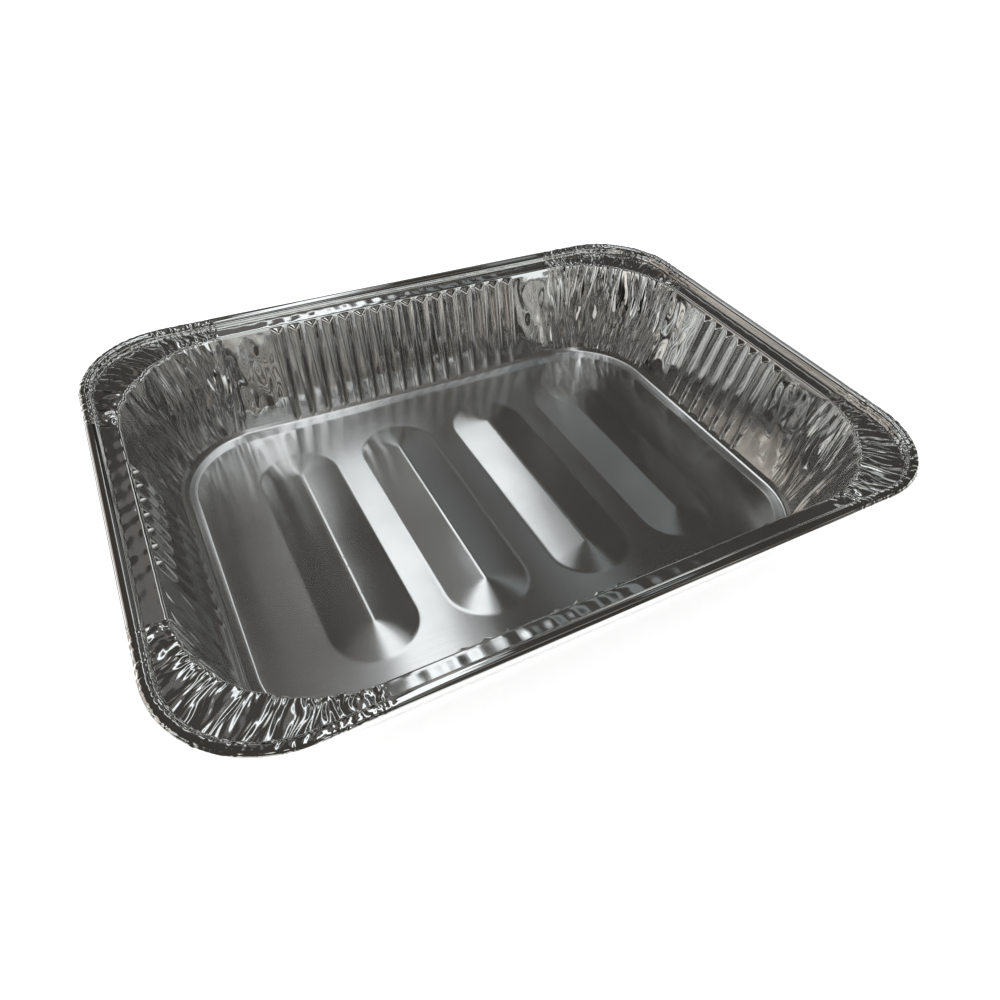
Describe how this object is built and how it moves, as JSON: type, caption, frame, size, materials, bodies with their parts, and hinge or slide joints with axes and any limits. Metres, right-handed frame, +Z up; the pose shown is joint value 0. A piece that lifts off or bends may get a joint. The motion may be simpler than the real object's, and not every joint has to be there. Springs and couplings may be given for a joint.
{
  "type": "aluminium foil tray",
  "caption": "Deep rectangular foil roasting tray with fluted sides, gathered corners, a rolled rim and a ribbed base.",
  "frame": {"origin": "under the middle of the base panel, at the level the tray stands on", "axes": "+X along the long side, +Y across it, +Z up out of the open top"},
  "size_m": [0.326, 0.246, 0.057],
  "materials": {
    "foil": "bright rolled foil, satin on the base"
  },
  "bodies": {
    "root": {"foil_tray": "foil"}
  },
  "joints": []
}
